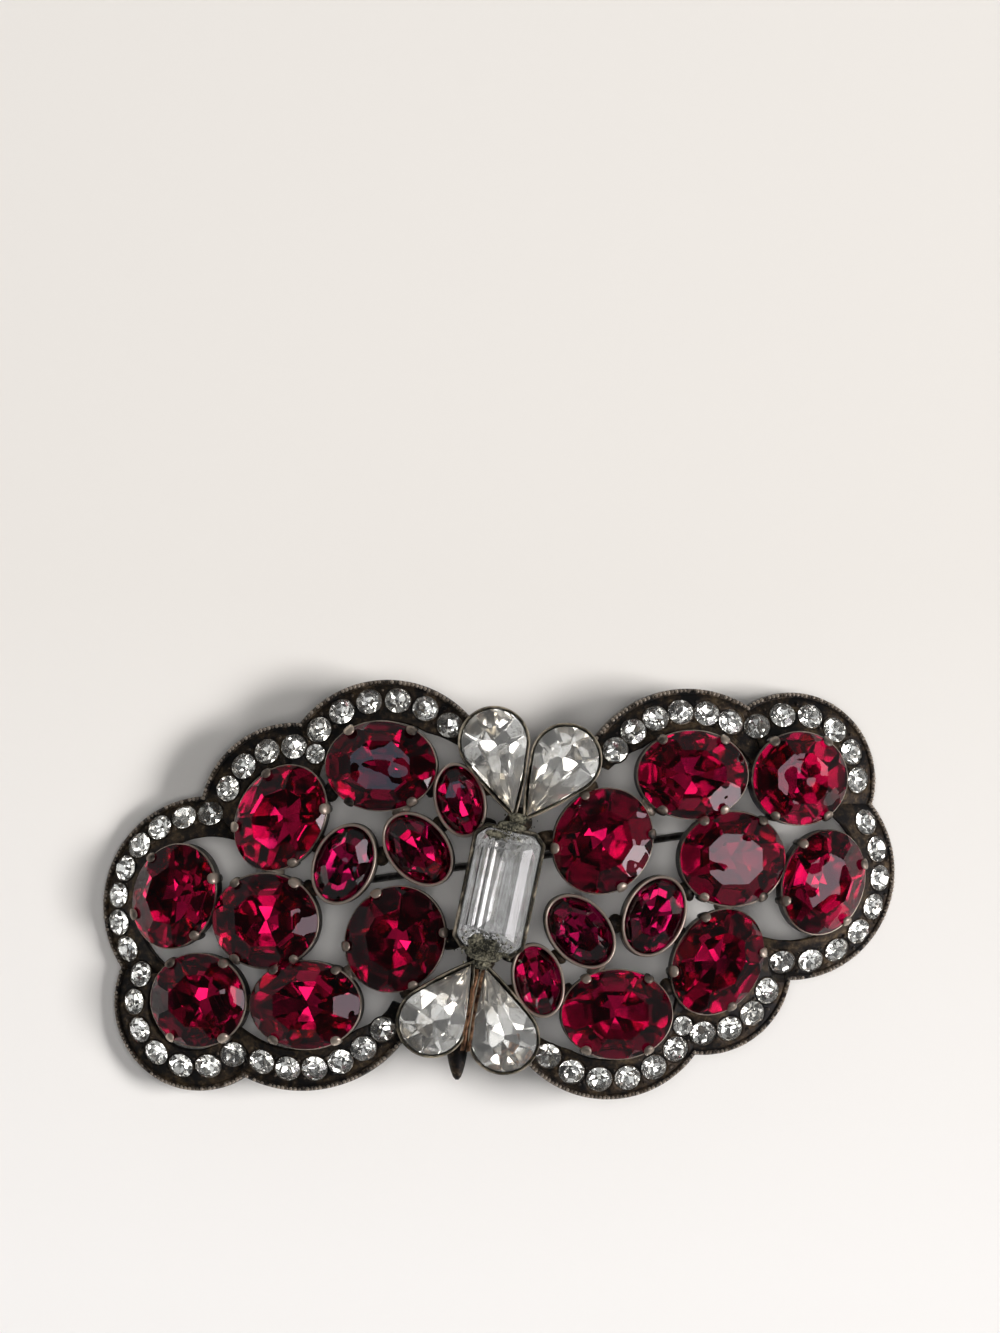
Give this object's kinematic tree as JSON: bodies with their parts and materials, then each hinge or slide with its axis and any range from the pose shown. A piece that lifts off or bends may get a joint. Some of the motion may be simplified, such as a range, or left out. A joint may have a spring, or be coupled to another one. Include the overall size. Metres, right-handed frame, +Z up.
{
  "type": "butterfly brooch",
  "caption": "Butterfly-shaped pin brooch with scalloped wings of red oval stones inside a border of small clear stones, and clear pear and baguette stones as its body.",
  "frame": {"origin": "middle of the brooch's outline, on the surface that it lies on face up", "axes": "+X along the span towards the right wing, +Y towards the upper pair of pear stones, +Z up, out of the face"},
  "size_m": [0.0798, 0.042, 0.0127],
  "materials": {
    "setting_metal": "cast and soldered, darkened to an antique gunmetal, worn lighter on edges and claws",
    "pin_wire": "drawn wire, darkened",
    "red_glass": "faceted and foil-backed, deep wine red",
    "clear_glass": "faceted and foil-backed, slightly aged"
  },
  "bodies": {
    "root": {"setting": "setting_metal", "pin": "pin_wire", "left_oval_1": "red_glass", "left_oval_2": "red_glass", "left_oval_3": "red_glass", "left_oval_4": "red_glass", "left_oval_5": "red_glass", "left_oval_6": "red_glass", "left_oval_7": "red_glass", "right_oval_1": "red_glass", "right_oval_2": "red_glass", "right_oval_3": "red_glass", "right_oval_4": "red_glass", "right_oval_5": "red_glass", "right_oval_6": "red_glass", "right_oval_7": "red_glass", "left_small_oval_1": "red_glass", "left_small_oval_2": "red_glass", "left_small_oval_3": "red_glass", "right_small_oval_1": "red_glass", "right_small_oval_2": "red_glass", "right_small_oval_3": "red_glass", "left_pear_1": "clear_glass", "left_pear_2": "clear_glass", "right_pear_1": "clear_glass", "right_pear_2": "clear_glass", "centre_stone": "clear_glass", "left_border_stones": "clear_glass", "right_border_stones": "clear_glass"}
  },
  "joints": []
}
